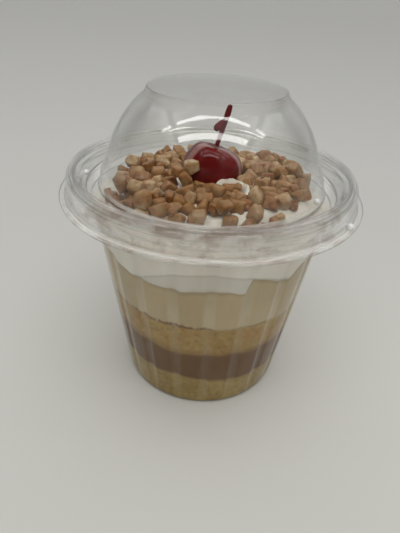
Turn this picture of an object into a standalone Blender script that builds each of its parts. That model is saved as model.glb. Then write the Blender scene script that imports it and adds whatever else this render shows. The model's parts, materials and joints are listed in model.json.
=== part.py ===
"""A layered dessert in a clear lidded cup: sponge, chocolate filling, sponge, custard,
whipped cream with chopped nuts, and a cherry with its stem under a clear dome lid.

Metres, +Z up. The cup stands on z = 0 with its axis at x = y = 0; -Y is the front.
"""

import bmesh
import bpy
import math
import random
from mathutils import Vector

for leftover in list(bpy.data.objects):
    bpy.data.objects.remove(leftover, do_unlink=True)

# One unit of the drawing: with it the curled rim of the cup is 98 mm across.
UNIT = 0.00088
GAP = 0.34 * UNIT
PLASTIC = 0.5 * UNIT

# Cup: a straight taper with narrow upright grooves, a shoulder and an outward curl.
CUP_BASE_RADIUS = 37.1 * UNIT
CUP_TAPER = 0.132
GROOVES = 20
GROOVE_DEPTH = 0.5 * UNIT
GROOVE_PHASE = math.radians(-87.0)
CUP_STEPS_PER_GROOVE = 3
RIM_STEPS = 48

# Lid: a ball-shaped dome cut off by a flat top, a channel, a rim and a skirt.
DOME_RADIUS = 43.0 * UNIT
DOME_CENTRE = 93.25 * UNIT
LID_TOP = 129.1 * UNIT
LID_STEPS = 40

# Levels of the layers where they meet the wall of the cup.
FLOOR_LEVEL = 0.5 * UNIT
SPONGE_LEVEL = 17.0 * UNIT
CHOCOLATE_LEVEL = 33.2 * UNIT
UPPER_SPONGE_LEVEL = 49.0 * UNIT
CUSTARD_LEVEL = 71.0 * UNIT
CREAM_EDGE_LEVEL = 84.6 * UNIT

# Cherry and stem.
CHERRY_RADIUS = 12.2 * UNIT
CHERRY_CENTRE = Vector((-0.2 * UNIT, 0.8 * UNIT, 97.5 * UNIT))
STEM_FOOT = Vector((1.1 * UNIT, 0.4 * UNIT, 107.15 * UNIT))
STEM_TIP = Vector((5.3 * UNIT, 0.3 * UNIT, 122.9 * UNIT))

# Chopped nuts.
NUT_SEED = 41
FIRST_TIER = 119
SECOND_TIER = 20

# How far out the heap of nuts reaches, in units, by bearing in degrees from the right.
HEAP_EDGE = ((-180, 36.5), (-157, 42.0), (-135, 42.5), (-115, 41.0), (-90, 39.6), (-60, 40.4),
             (-27, 36.4), (-10, 38.5), (33, 38.0), (60, 31.0), (120, 31.0), (150, 32.0),
             (180, 36.5))

# Two nuts that lean on the cherry at its front left: centre and size in units.
LEANING_NUTS = ((-10.2, -12.9, 98.8, 3.9), (-7.9, -10.9, 102.4, 3.3))


def principled(name, colour, roughness, alpha=1.0):
    """A plain material for one sub-part."""
    made = bpy.data.materials.new(name)
    made.use_nodes = True
    shader = made.node_tree.nodes["Principled BSDF"]
    shader.inputs["Base Color"].default_value = (*colour, 1.0)
    shader.inputs["Roughness"].default_value = roughness
    shader.inputs["Alpha"].default_value = alpha
    return made


def add_object(name, bm, material, smooth_angle=None):
    """Turns the bmesh into a scene object with outward faces."""
    bmesh.ops.recalc_face_normals(bm, faces=bm.faces)
    mesh = bpy.data.meshes.new(name)
    bm.to_mesh(mesh)
    bm.free()
    made = bpy.data.objects.new(name, mesh)
    bpy.context.scene.collection.objects.link(made)
    made.data.materials.append(material)
    if smooth_angle is not None:
        for face in mesh.polygons:
            face.use_smooth = True
        mesh.set_sharp_from_angle(angle=smooth_angle)
    return made


def ring_of(bm, points):
    return [bm.verts.new(point) for point in points]


def join_equal(bm, first, second):
    """A strip of four-sided faces between two rings with the same number of points."""
    count = len(first)
    for i in range(count):
        j = (i + 1) % count
        bm.faces.new((first[i], first[j], second[j], second[i]))


def bearing(vert):
    return math.atan2(vert.co.y, vert.co.x) % math.tau


def join_any(bm, first, second):
    """A strip of triangles between two rings whose point counts differ."""
    outer = sorted(first, key=bearing)
    inner = sorted(second, key=bearing)
    i = 0
    j = 0
    while i < len(outer) or j < len(inner):
        a = outer[i % len(outer)]
        b = inner[j % len(inner)]
        next_a = bearing(outer[(i + 1) % len(outer)]) + math.tau * ((i + 1) // len(outer))
        next_b = bearing(inner[(j + 1) % len(inner)]) + math.tau * ((j + 1) // len(inner))
        if j == len(inner) or (i < len(outer) and next_a <= next_b):
            bm.faces.new((a, outer[(i + 1) % len(outer)], b))
            i += 1
        else:
            bm.faces.new((a, inner[(j + 1) % len(inner)], b))
            j += 1


def fan(bm, ring, point):
    """Closes a ring with triangles that meet in one point."""
    apex = bm.verts.new(point)
    count = len(ring)
    for i in range(count):
        bm.faces.new((ring[i], ring[(i + 1) % count], apex))


def polar(radius, angle, height):
    return Vector((radius * math.cos(angle), radius * math.sin(angle), height))


def smooth_step(low, high, value):
    t = min(1.0, max(0.0, (value - low) / (high - low)))
    return t * t * (3.0 - 2.0 * t)


# ---------------------------------------------------------------- cup

def cup_angles():
    """Bearings of the cup's steps: the two edges and the floor of each groove."""
    edge = math.radians(3.4)
    found = []
    for k in range(GROOVES):
        middle = GROOVE_PHASE + k * math.tau / GROOVES
        found += [middle - edge, middle, middle + edge]
    return found


CUP_ANGLES = cup_angles()


def groove_share(step):
    """How much of the groove depth a step has: all of it at the floor, none at the edges."""
    return 1.0 if step % CUP_STEPS_PER_GROOVE == 1 else 0.0


def groove_depth(height):
    """The grooves fade out at the foot and below the shoulder."""
    rise = smooth_step(2.5 * UNIT, 7.0 * UNIT, height)
    fall = 1.0 - smooth_step(80.0 * UNIT, 85.0 * UNIT, height)
    return GROOVE_DEPTH * rise * fall


def wall_radius(height):
    """Outer radius of the plain taper."""
    return CUP_BASE_RADIUS + CUP_TAPER * height


def offset_line(line, distance):
    """The line moved to its right-hand side, with mitred corners."""
    moved = []
    for i, (r, z) in enumerate(line):
        before = line[max(i - 1, 0)]
        after = line[min(i + 1, len(line) - 1)]
        tangents = []
        for a, b in ((before, (r, z)), ((r, z), after)):
            run = Vector((b[0] - a[0], b[1] - a[1]))
            if run.length > 0:
                tangents.append(run.normalized())
        normals = [Vector((t.y, -t.x)) for t in tangents]
        total = sum(normals, Vector((0.0, 0.0))).normalized()
        share = max(0.5, total.dot(normals[0]))
        moved.append((r + total.x * distance / share, z + total.y * distance / share))
    return moved


CUP_RIM = [(48.95, 88.2), (51.25, 90.3), (52.85, 96.2), (54.3, 98.0), (55.65, 97.2),
           (55.75, 95.8)]


def build_cup():
    """The grooved wall and the plain rim above it, inside and outside, as one shell."""
    wall = [(36.3 * UNIT, 0.0), (37.3 * UNIT, 1.1 * UNIT)]
    wall += [(wall_radius(z * UNIT), z * UNIT) for z in (3.0, 7.0, 80.0, 85.5)]
    rim = [(r * UNIT, z * UNIT) for r, z in CUP_RIM]
    inner = offset_line([(0.0, 0.0)] + wall + rim, -PLASTIC)[1:]
    rim_angles = [math.tau * k / RIM_STEPS for k in range(RIM_STEPS)]
    bm = bmesh.new()
    ends = []
    for line in (wall + rim, inner):
        last = None
        for i, (r, z) in enumerate(line):
            if i < len(wall):
                depth = groove_depth(z)
                points = [polar(r - depth * groove_share(k), angle, z)
                          for k, angle in enumerate(CUP_ANGLES)]
            else:
                points = [polar(r, angle, z) for angle in rim_angles]
            ring = ring_of(bm, points)
            if i == 0:
                fan(bm, ring, (0.0, 0.0, z))
            elif len(last) == len(ring):
                join_equal(bm, last, ring)
            else:
                join_any(bm, last, ring)
            last = ring
        ends.append(last)
    join_equal(bm, ends[0], ends[1])
    return add_object("cup", bm, CLEAR_CUP, math.radians(35))


# ---------------------------------------------------------------- lid

def lid_line():
    line = [(0.0, LID_TOP), (25.9 * UNIT, LID_TOP), (27.25 * UNIT, 126.0 * UNIT)]
    for degrees in (41.2, 48.5, 56.0, 64.0, 72.0, 80.0):
        turn = math.radians(degrees)
        line.append((DOME_RADIUS * math.sin(turn), DOME_CENTRE + DOME_RADIUS * math.cos(turn)))
    line += [(r * UNIT, z * UNIT) for r, z in (
        (43.9, 100.0), (45.4, 93.4), (50.1, 93.0), (51.8, 97.6), (53.4, 99.7),
        (56.0, 99.7), (57.15, 98.2), (57.7, 92.0), (58.5, 90.9), (60.56, 90.6))]
    return line


def build_lid():
    outer = lid_line()
    inner = offset_line(outer, PLASTIC)
    inner[0] = (0.0, LID_TOP - PLASTIC)
    inner[-1] = (outer[-1][0], outer[-1][1] - PLASTIC)
    bm = bmesh.new()
    angles = [math.tau * k / LID_STEPS for k in range(LID_STEPS)]

    def rows(line):
        return [ring_of(bm, [polar(r, angle, z) for angle in angles]) for r, z in line]

    outside = rows(outer[1:])
    inside = rows(inner[1:])
    for group in (outside, inside):
        for high, low in zip(group, group[1:]):
            join_equal(bm, high, low)
    join_equal(bm, outside[-1], inside[-1])
    fan(bm, outside[0], (0.0, 0.0, LID_TOP))
    fan(bm, inside[0], (0.0, 0.0, LID_TOP - PLASTIC))
    return add_object("lid", bm, CLEAR_LID, math.radians(35))


def add_lugs(lid):
    """Three small knobs: on the skirt, on the foot of the dome and in the channel."""
    lugs = bpy.data.collections.new("lugs")
    for bearing_deg, radius, height, size in ((-32.0, 58.5, 91.0, 1.5), (-31.0, 44.75, 96.5, 1.1),
                                              (-174.0, 50.4, 95.2, 1.1)):
        bm = bmesh.new()
        bmesh.ops.create_icosphere(bm, subdivisions=1, radius=size * UNIT)
        for vert in bm.verts:
            vert.co += polar(radius * UNIT, math.radians(bearing_deg), height * UNIT)
        lug = add_object("lug", bm, CLEAR_LID)
        bpy.context.scene.collection.objects.unlink(lug)
        lugs.objects.link(lug)
    unite(lid, lugs)


def unite(target, collection):
    """One union of an object with all the objects of a collection, which are then removed."""
    union = target.modifiers.new("union", "BOOLEAN")
    union.operation = "UNION"
    union.operand_type = "COLLECTION"
    union.collection = collection
    union.solver = "EXACT"
    graph = bpy.context.evaluated_depsgraph_get()
    joined = bpy.data.meshes.new_from_object(target.evaluated_get(graph))
    target.modifiers.remove(union)
    target.data = joined
    for extra in list(collection.objects):
        bpy.data.objects.remove(extra, do_unlink=True)
    bpy.data.collections.remove(collection)


def keep_main_shell(target):
    """Drops loose scraps and fills sealed hollows: the largest shell alone is kept."""
    bm = bmesh.new()
    bm.from_mesh(target.data)
    left = set(bm.verts)
    shells = []
    while left:
        stack = [left.pop()]
        shell = set(stack)
        while stack:
            for edge in stack.pop().link_edges:
                for vert in edge.verts:
                    if vert in left:
                        left.discard(vert)
                        shell.add(vert)
                        stack.append(vert)
        shells.append(shell)
    shells.sort(key=len)
    scraps = [vert for shell in shells[:-1] for vert in shell]
    bmesh.ops.delete(bm, geom=scraps, context="VERTS")
    bm.to_mesh(target.data)
    bm.free()


# ---------------------------------------------------------------- layers

def wave(angle, *terms):
    """A sum of cosines around the cup: (times round, size in units, phase in degrees)."""
    total = 0.0
    for times, size, phase in terms:
        total += size * math.cos(times * angle - math.radians(phase))
    return total * UNIT


def sponge_edge(angle):
    return SPONGE_LEVEL + wave(angle, (1, 1.6, 190.0), (3, 0.5, 40.0), (7, 0.35, 10.0))


def chocolate_edge(angle):
    return CHOCOLATE_LEVEL + wave(angle, (1, 2.3, 190.0), (3, 0.7, 200.0), (8, 0.4, 60.0))


def upper_sponge_edge(angle):
    return UPPER_SPONGE_LEVEL + wave(angle, (1, 1.1, 185.0), (4, 0.4, 70.0), (11, 0.2, 30.0))


def custard_edge(angle):
    """The cream hangs down in a lobe at the front, which ends steeply on its right."""
    front = math.degrees(angle + 0.5 * math.pi)
    front = (front + 180.0) % 360.0 - 180.0
    lobe = smooth_step(-62.0, -38.0, front) * (1.0 - smooth_step(18.5, 21.5, front))
    right = smooth_step(24.0, 40.0, front) * (1.0 - smooth_step(42.0, 52.0, front))
    level = CUSTARD_LEVEL + 3.0 * UNIT - 5.0 * UNIT * lobe - 4.0 * UNIT * right
    away = smooth_step(55.0, 80.0, abs(front))
    return level + away * wave(angle, (3, 1.6, 20.0), (5, 1.2, 130.0)) + wave(
        angle, (9, 0.6, 75.0), (13, 0.35, 10.0))


def inner_radius(step, height):
    """Radius of what fills the cup: the inside of the wall less the gap."""
    depth = groove_depth(height) * groove_share(step)
    return wall_radius(height) - PLASTIC - depth - GAP


def edge_ring(bm, edge, shift):
    points = []
    for step, angle in enumerate(CUP_ANGLES):
        height = edge(angle) + shift
        points.append(polar(inner_radius(step, height), angle, height))
    return ring_of(bm, points)


def build_layer(name, low_edge, high_edge, low_middle, high_middle, material):
    bm = bmesh.new()
    if low_edge is None:
        level = FLOOR_LEVEL + GAP
        low = ring_of(bm, [polar(35.6 * UNIT, angle, level) for angle in CUP_ANGLES])
        fan(bm, low, (0.0, 0.0, level))
        for height in (3.0 * UNIT, 7.0 * UNIT):
            foot = ring_of(bm, [polar(inner_radius(step, height), angle, height)
                                for step, angle in enumerate(CUP_ANGLES)])
            join_equal(bm, low, foot)
            low = foot
    else:
        low = edge_ring(bm, low_edge, 0.5 * GAP)
        fan(bm, low, (0.0, 0.0, low_middle + 0.5 * GAP))
    high = edge_ring(bm, high_edge, -0.5 * GAP)
    join_equal(bm, low, high)
    fan(bm, high, (0.0, 0.0, high_middle - 0.5 * GAP))
    return add_object(name, bm, material, math.radians(40))


# ---------------------------------------------------------------- cream and nuts

def swirl_distance(x, y):
    """How far a spot is from the ring of cream in front of the cherry, in units."""
    return abs(math.hypot(x / UNIT - 7.8, 1.1 * (y / UNIT + 18.3)) - 5.8)


def cream_height(x, y):
    """Top of the cream: a low swell that falls to the wall, with soft folds and a swirl."""
    distance = math.hypot(x, y)
    swell = 85.4 + 8.0 * (1.0 - smooth_step(33.5 * UNIT, 47.5 * UNIT, distance))
    swell += 0.7 * (1.0 - smooth_step(18.0 * UNIT, 34.0 * UNIT, distance))
    folds = 0.55 * math.sin(x / UNIT * 0.31 + 1.3) * math.cos(y / UNIT * 0.27 - 0.6)
    folds += 0.3 * math.sin((x + 1.7 * y) / UNIT * 0.23)
    folds += 2.4 * math.exp(-(swirl_distance(x, y) / 1.4) ** 2)
    ridge = abs(math.hypot(x + 6.0 * UNIT, y - 4.0 * UNIT) - 41.0 * UNIT) / UNIT
    if x > 0:
        folds += 1.0 * math.exp(-(ridge / 2.2) ** 2) * smooth_step(46.0, 40.0, distance / UNIT)
    return (swell + folds) * UNIT


def cream_rings():
    return ((45.0, 44), (39.5, 36), (33.0, 30), (25.5, 26), (19.5, 24), (14.8, 22))


def build_cream():
    bm = bmesh.new()
    low = edge_ring(bm, custard_edge, 0.5 * GAP)
    fan(bm, low, (0.0, 0.0, CUSTARD_LEVEL + 0.5 * GAP))

    def top_edge(angle):
        return CREAM_EDGE_LEVEL + wave(angle, (4, 0.35, 20.0), (9, 0.25, 100.0))

    ring = edge_ring(bm, top_edge, 0.0)
    join_equal(bm, low, ring)
    for radius, count in cream_rings():
        points = []
        for k in range(count):
            angle = math.tau * (k + 0.5 * (count // 2 % 2)) / count
            x = radius * UNIT * math.cos(angle)
            y = radius * UNIT * math.sin(angle)
            points.append((x, y, cream_height(x, y)))
        inner = ring_of(bm, points)
        join_any(bm, ring, inner)
        ring = inner
    # The hollow in which the cherry sits.
    clearance = CHERRY_RADIUS + GAP + 0.1 * UNIT
    for drop, count in ((6.2, 18), (9.0, 12), (11.3, 8)):
        reach = math.sqrt(clearance ** 2 - (drop * UNIT) ** 2)
        inner = ring_of(bm, [
            (CHERRY_CENTRE.x + reach * math.cos(math.tau * k / count),
             CHERRY_CENTRE.y + reach * math.sin(math.tau * k / count),
             CHERRY_CENTRE.z - drop * UNIT - 0.3 * UNIT) for k in range(count)])
        join_any(bm, ring, inner)
        ring = inner
    fan(bm, ring, (CHERRY_CENTRE.x, CHERRY_CENTRE.y, CHERRY_CENTRE.z - clearance - 0.1 * UNIT))
    return add_object("whipped_cream", bm, CREAM)


def heap_edge(x, y):
    """How far out the heap of nuts reaches toward a spot, in units."""
    turn = math.degrees(math.atan2(y, x))
    for (low, first), (high, second) in zip(HEAP_EDGE, HEAP_EDGE[1:]):
        if turn <= high:
            return first + (second - first) * smooth_step(low, high, turn)
    return HEAP_EDGE[-1][1]


def bare_cream(x, y):
    """Where the cream shows between the nuts: two patches at the front and the swirl."""
    if math.hypot(x - 2.0 * UNIT, y + 38.0 * UNIT) < 4.6 * UNIT:
        return True
    if math.hypot(x - 18.0 * UNIT, y + 25.5 * UNIT) < 3.6 * UNIT:
        return True
    return swirl_distance(x, y) < 2.2 and y > -20.5 * UNIT


def nut_height(x, y, size, tier, placed):
    """Centre height of a nut at rest, or None where it can't lie."""
    height = cream_height(x * UNIT, y * UNIT) / UNIT + 0.36 * size
    if tier == 0:
        for px, py, pz, other in placed:
            if math.hypot(px - x, py - y) < 0.66 * (size + other):
                return None
        return height
    under = [nut for nut in placed if math.hypot(nut[0] - x, nut[1] - y) < 0.95 * (size + nut[3])]
    if len(under) < 2:
        return None
    for px, py, pz, other in under:
        flat = math.hypot(px - x, py - y)
        reach = 0.80 * (size + other)
        if flat < reach:
            height = max(height, pz + math.sqrt(reach ** 2 - flat ** 2))
    return height if height < 98.2 else None


def place_nuts():
    """Centres and sizes of the nuts in units: the largest first, and a second tier on top."""
    chance = random.Random(NUT_SEED)
    placed = []
    for tier, count, inner, inset in ((0, FIRST_TIER, 13.0, 0.0), (1, SECOND_TIER, 15.0, 3.0)):
        for k in range(count):
            size = 3.95 - 0.9 * k / count + chance.uniform(-0.2, 0.2)
            best = None
            for attempt in range(200):
                distance = math.sqrt(chance.uniform(inner ** 2, 42.5 ** 2))
                turn = chance.uniform(0.0, math.tau)
                x = distance * math.cos(turn)
                y = distance * math.sin(turn)
                if bare_cream(x * UNIT, y * UNIT) or distance > heap_edge(x, y) - inset:
                    continue
                height = nut_height(x, y, size, tier, placed)
                if height is None:
                    continue
                cherry = Vector((x, y, height)) - CHERRY_CENTRE / UNIT
                if cherry.length < CHERRY_RADIUS / UNIT + 0.4 + 0.7 * size:
                    continue
                mates = placed[FIRST_TIER * tier:]
                room = min([math.hypot(nut[0] - x, nut[1] - y) for nut in mates] + [9.0])
                if best is None or room > best[0]:
                    best = (room, x, y, height)
            if best is not None:
                placed.append((best[1], best[2], best[3], size))
    return placed + list(LEANING_NUTS)


def hull_points(chance, size):
    """Corners of one chopped piece: an uneven block."""
    sides = (size * chance.uniform(0.72, 0.92), size * chance.uniform(0.58, 0.74),
             size * chance.uniform(0.46, 0.64))
    points = []
    for i in (-1, 1):
        for j in (-1, 1):
            for k in (-1, 1):
                points.append(Vector([
                    way * side * chance.uniform(0.72, 1.12)
                    for way, side in zip((i, j, k), sides)]))
    return points


def inside_limits(point):
    """Keeps a corner clear of the lid and of the cherry, in units."""
    flat = Vector((point.x, point.y, 0.0))
    rise = point.z - DOME_CENTRE / UNIT
    reach = math.sqrt(((DOME_RADIUS - PLASTIC) / UNIT) ** 2 - rise ** 2) - 0.7
    if point.z < 98.0:
        reach = 43.6 - 0.25 * max(0.0, point.z - 96.0)
    if flat.length > reach:
        flat *= reach / flat.length
    kept = Vector((flat.x, flat.y, point.z))
    away = kept - CHERRY_CENTRE / UNIT
    least = CHERRY_RADIUS / UNIT + 0.6
    if away.length < least:
        kept = CHERRY_CENTRE / UNIT + away.normalized() * least
    return kept


def add_nuts(cream):
    chance = random.Random(NUT_SEED + 1)
    nuts = bpy.data.collections.new("nuts")
    for x, y, z, size in place_nuts():
        turn = Vector((chance.uniform(-1, 1), chance.uniform(-1, 1), chance.uniform(-1, 1)))
        spin = chance.uniform(0.0, math.tau)
        points = hull_points(chance, size)
        bm = bmesh.new()
        turned = turn.normalized().to_track_quat("Z", "Y").to_matrix()
        for point in points:
            point.rotate(turned)
            flat_x = point.x * math.cos(spin) - point.y * math.sin(spin)
            flat_y = point.x * math.sin(spin) + point.y * math.cos(spin)
            corner = inside_limits(Vector((flat_x + x, flat_y + y, point.z + z)))
            bm.verts.new(corner * UNIT)
        hull = bmesh.ops.convex_hull(bm, input=bm.verts)
        spare = [item for item in hull["geom_interior"] if isinstance(item, bmesh.types.BMVert)]
        bmesh.ops.delete(bm, geom=spare, context="VERTS")
        bmesh.ops.triangulate(bm, faces=bm.faces)
        nut = add_object("nut", bm, CREAM)
        bpy.context.scene.collection.objects.unlink(nut)
        nuts.objects.link(nut)
    unite(cream, nuts)
    keep_main_shell(cream)


# ---------------------------------------------------------------- cherry

def cherry_spot(turn, angle):
    """A spot of the cherry, turn radians from its top: flatter on top, with a dimple there."""
    flattening = 0.10 if turn < 0.5 * math.pi else 0.03
    radius = CHERRY_RADIUS * (1.0 - flattening * math.cos(turn) ** 2)
    lump = 1.0 + 0.008 * math.cos(2.0 * angle + 0.7) * math.sin(turn)
    dimple = 2.0 * UNIT * math.exp(-(turn / 0.40) ** 2)
    # The far left of the dimple stands higher than its near right.
    lobe = 1.5 * UNIT * math.cos(angle - math.radians(150.0))
    lobe *= math.exp(-((turn - 0.62) / 0.34) ** 2) * min(1.0, turn / 0.2)
    height = radius * math.cos(turn) - dimple + lobe
    return Vector(polar(radius * math.sin(turn) * lump, angle, height))


def build_cherry():
    """A ball, a little flattened, with a dimple where the stem enters."""
    bm = bmesh.new()
    lean = Vector((0.08, -0.02, 1.0)).normalized().to_track_quat("Z", "Y")
    steps = 20
    turns = [math.radians(degrees) for degrees in (11, 21, 31, 43, 58, 75, 92, 109, 126, 144, 162)]
    rows = []
    for turn in turns:
        rows.append(ring_of(bm, [
            lean @ cherry_spot(turn, math.tau * k / steps) + CHERRY_CENTRE
            for k in range(steps)]))
    for first, second in zip(rows, rows[1:]):
        join_equal(bm, first, second)
    fan(bm, rows[0], lean @ cherry_spot(0.0, 0.0) + CHERRY_CENTRE)
    fan(bm, rows[-1], lean @ cherry_spot(math.pi, 0.0) + CHERRY_CENTRE)
    return add_object("cherry", bm, CHERRY_RED, math.radians(60))


def tube(bm, stations, steps):
    """A closed tube through (centre, radius) stations."""
    rings = []
    for i, (centre, radius) in enumerate(stations):
        before = stations[max(i - 1, 0)][0]
        after = stations[min(i + 1, len(stations) - 1)][0]
        along = (after - before).normalized()
        side = along.cross(Vector((0.0, 1.0, 0.0))).normalized()
        other = along.cross(side).normalized()
        rings.append(ring_of(bm, [
            centre + radius * (side * math.cos(math.tau * k / steps)
                               + other * math.sin(math.tau * k / steps))
            for k in range(steps)]))
    for first, second in zip(rings, rings[1:]):
        join_equal(bm, first, second)
    fan(bm, rings[0], stations[0][0])
    fan(bm, rings[-1], stations[-1][0])


def build_stem():
    """The stem, thicker at its tip, with the short drop-shaped spur on its left."""
    bm = bmesh.new()
    run = STEM_TIP - STEM_FOOT
    bow = Vector((0.1 * UNIT, 0.0, -0.1 * UNIT))
    stations = []
    for share, radius in ((0.0, 0.90), (0.12, 0.86), (0.4, 0.92), (0.62, 1.04), (0.8, 1.15),
                          (0.94, 1.06), (1.0, 0.70)):
        stations.append((STEM_FOOT + run * share + bow * 4.0 * share * (1.0 - share),
                         radius * UNIT))
    tube(bm, stations, 8)
    stem = add_object("cherry_stem", bm, STEM_RED, math.radians(60))
    spur_bm = bmesh.new()
    root = STEM_FOOT + run * 0.69 + bow * 0.85
    hang = Vector((-4.1 * UNIT, -0.2 * UNIT, -4.7 * UNIT))
    spur = []
    for share, radius in ((-0.06, 0.50), (0.2, 0.85), (0.5, 1.28), (0.74, 1.48), (0.92, 1.15),
                          (1.0, 0.58)):
        spur.append((root + hang * share, radius * UNIT))
    tube(spur_bm, spur, 8)
    drop = add_object("spur", spur_bm, STEM_RED)
    spurs = bpy.data.collections.new("spurs")
    bpy.context.scene.collection.objects.unlink(drop)
    spurs.objects.link(drop)
    unite(stem, spurs)
    return stem


CLEAR_CUP = principled("clear cup plastic", (0.86, 0.87, 0.86), 0.08, 0.35)
CLEAR_LID = principled("clear lid plastic", (0.86, 0.87, 0.86), 0.06, 0.3)
SPONGE = principled("yellow sponge", (0.52, 0.38, 0.14), 0.8)
CHOCOLATE = principled("chocolate filling", (0.09, 0.045, 0.025), 0.45)
UPPER_SPONGE = principled("golden sponge", (0.50, 0.32, 0.12), 0.8)
CUSTARD = principled("pale custard", (0.52, 0.46, 0.30), 0.5)
CREAM = principled("whipped cream", (0.85, 0.82, 0.74), 0.5)
CHERRY_RED = principled("cherry skin", (0.22, 0.01, 0.015), 0.15)
STEM_RED = principled("cherry stem red", (0.18, 0.012, 0.015), 0.4)

build_cup()
lid_object = build_lid()
add_lugs(lid_object)
build_layer("lower_sponge", None, sponge_edge, 0.0, SPONGE_LEVEL, SPONGE)
build_layer("chocolate_filling", sponge_edge, chocolate_edge, SPONGE_LEVEL, CHOCOLATE_LEVEL,
            CHOCOLATE)
build_layer("upper_sponge", chocolate_edge, upper_sponge_edge, CHOCOLATE_LEVEL,
            UPPER_SPONGE_LEVEL, UPPER_SPONGE)
build_layer("custard", upper_sponge_edge, custard_edge, UPPER_SPONGE_LEVEL, CUSTARD_LEVEL,
            CUSTARD)
cream_object = build_cream()
add_nuts(cream_object)
build_cherry()
build_stem()
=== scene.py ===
"""The looks of a layered parfait in a clear cup under a clear domed lid.

Lengths in this script are in units of the drawing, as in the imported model's own source:
one unit is 0.88 mm, which makes the curled rim of the cup 98 mm across. The cup stands on
z = 0 with its axis at x = y = 0, and -Y is the front.
"""

import bmesh
import bpy
import json
import random
from itertools import product
from math import atan2, cos, degrees, exp, hypot, pi, radians, sin, sqrt, tan, tau
from mathutils import Matrix, Vector, noise

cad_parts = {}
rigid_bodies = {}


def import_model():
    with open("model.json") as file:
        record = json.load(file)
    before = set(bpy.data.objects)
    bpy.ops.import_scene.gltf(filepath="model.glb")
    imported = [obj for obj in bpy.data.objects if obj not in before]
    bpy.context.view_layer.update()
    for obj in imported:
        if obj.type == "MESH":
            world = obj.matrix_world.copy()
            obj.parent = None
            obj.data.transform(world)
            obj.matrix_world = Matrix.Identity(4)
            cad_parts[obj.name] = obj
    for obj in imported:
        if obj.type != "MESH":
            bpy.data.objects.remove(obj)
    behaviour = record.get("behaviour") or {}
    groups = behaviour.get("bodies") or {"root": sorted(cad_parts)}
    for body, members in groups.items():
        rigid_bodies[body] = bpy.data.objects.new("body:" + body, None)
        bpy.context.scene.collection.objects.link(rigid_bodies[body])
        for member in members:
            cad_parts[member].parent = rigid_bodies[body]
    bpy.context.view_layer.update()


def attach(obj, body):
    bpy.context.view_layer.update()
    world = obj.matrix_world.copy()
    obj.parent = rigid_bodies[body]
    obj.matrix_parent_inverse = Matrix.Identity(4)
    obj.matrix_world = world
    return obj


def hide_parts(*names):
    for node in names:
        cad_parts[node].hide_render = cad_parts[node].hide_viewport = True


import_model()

UNIT = 0.00088

# Thickness of cup and lid, and how far what fills the cup reaches into it
PLASTIC = 0.5
SINK = 0.13
CUP_FLOOR = PLASTIC - SINK

# Cup
CUP_BASE_RADIUS = 37.1
CUP_TAPER = 0.132
GROOVES = 20
GROOVE_DEPTH = 0.5
GROOVE_FOOT = 2.5
GROOVE_TOP = 85.0
GROOVE_FADE = 4.5
GROOVE_PHASE = radians(-87.0)
GROOVE_HALF_WIDTH = radians(3.5)

# Lid
DOME_RADIUS = 43.0
DOME_CENTRE = 93.25
LID_TOP = 129.1

# Levels of the layers at the wall
SPONGE_LEVEL = 17.0
CHOCOLATE_LEVEL = 33.2
UPPER_SPONGE_LEVEL = 49.0
CUSTARD_LEVEL = 71.0
CREAM_EDGE_LEVEL = 84.6

# Points round each layer and the cream, and the radius of the last ring before the middle
STEPS = 320
AROUND = [tau * k / STEPS for k in range(STEPS)]
INNER_RING = 30.0

# Rings up the cream's side and over its top
SIDE_ROWS = 26
TOP_ROWS = 74

# What the cream's points away from the wall carry as their height above its lower edge
ON_TOP = 20.0

# Cherry and stem
CHERRY_RADIUS = 12.2
CHERRY_CENTRE = Vector((-0.2, 0.8, 97.5))
STEM_FOOT = Vector((1.1, 0.4, 107.15))
STEM_TIP = Vector((5.3, 0.3, 122.9))
STEM_SIDES = 16
STEM_ROWS = 28
SPUR_ROWS = 16

# Chopped nuts
NUT_SEED = 41
NUT_LOOKS_SEED = 5
CRUMBS = 46
CRUMB_SHAPES = 12
FIRST_TIER = 119
SECOND_TIER = 20

# How far out the heap of nuts reaches, by bearing in degrees from the right
HEAP_EDGE = ((-180, 36.5), (-157, 42.0), (-135, 42.5), (-115, 41.0), (-90, 39.6), (-60, 40.4),
             (-27, 36.4), (-10, 38.5), (33, 38.0), (60, 31.0), (120, 31.0), (150, 32.0),
             (180, 36.5))

# Two nuts that lean on the cherry at its front left: centre and size
LEANING_NUTS = ((-10.2, -12.9, 98.8, 3.9), (-7.9, -10.9, 102.4, 3.3))

# Height of the light strips above the table, in metres
STRIP_HEIGHT = 0.308

# The camera, fitted to the cup: lengths in pixels of the photograph, and turns in radians
FOCAL_LENGTH = 430.0
PICTURE_HEIGHT = 533.0
CAMERA_PLACE = Vector((0.0, -167.06, 160.91))
CAMERA_TURNS = ((0.01703, "Z"), (0.5 * pi - 0.5861, "X"), (0.0543, "Z"))


# ---- node trees

def maths(operation, flipped=False):
    """A method of Value that adds a Math node with this operation."""
    def method(*numbers):
        order = numbers[::-1] if flipped else numbers
        sockets = dict(enumerate(order))
        return numbers[0].tree.add("ShaderNodeMath", sockets, operation=operation)["Value"]
    return method


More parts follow.
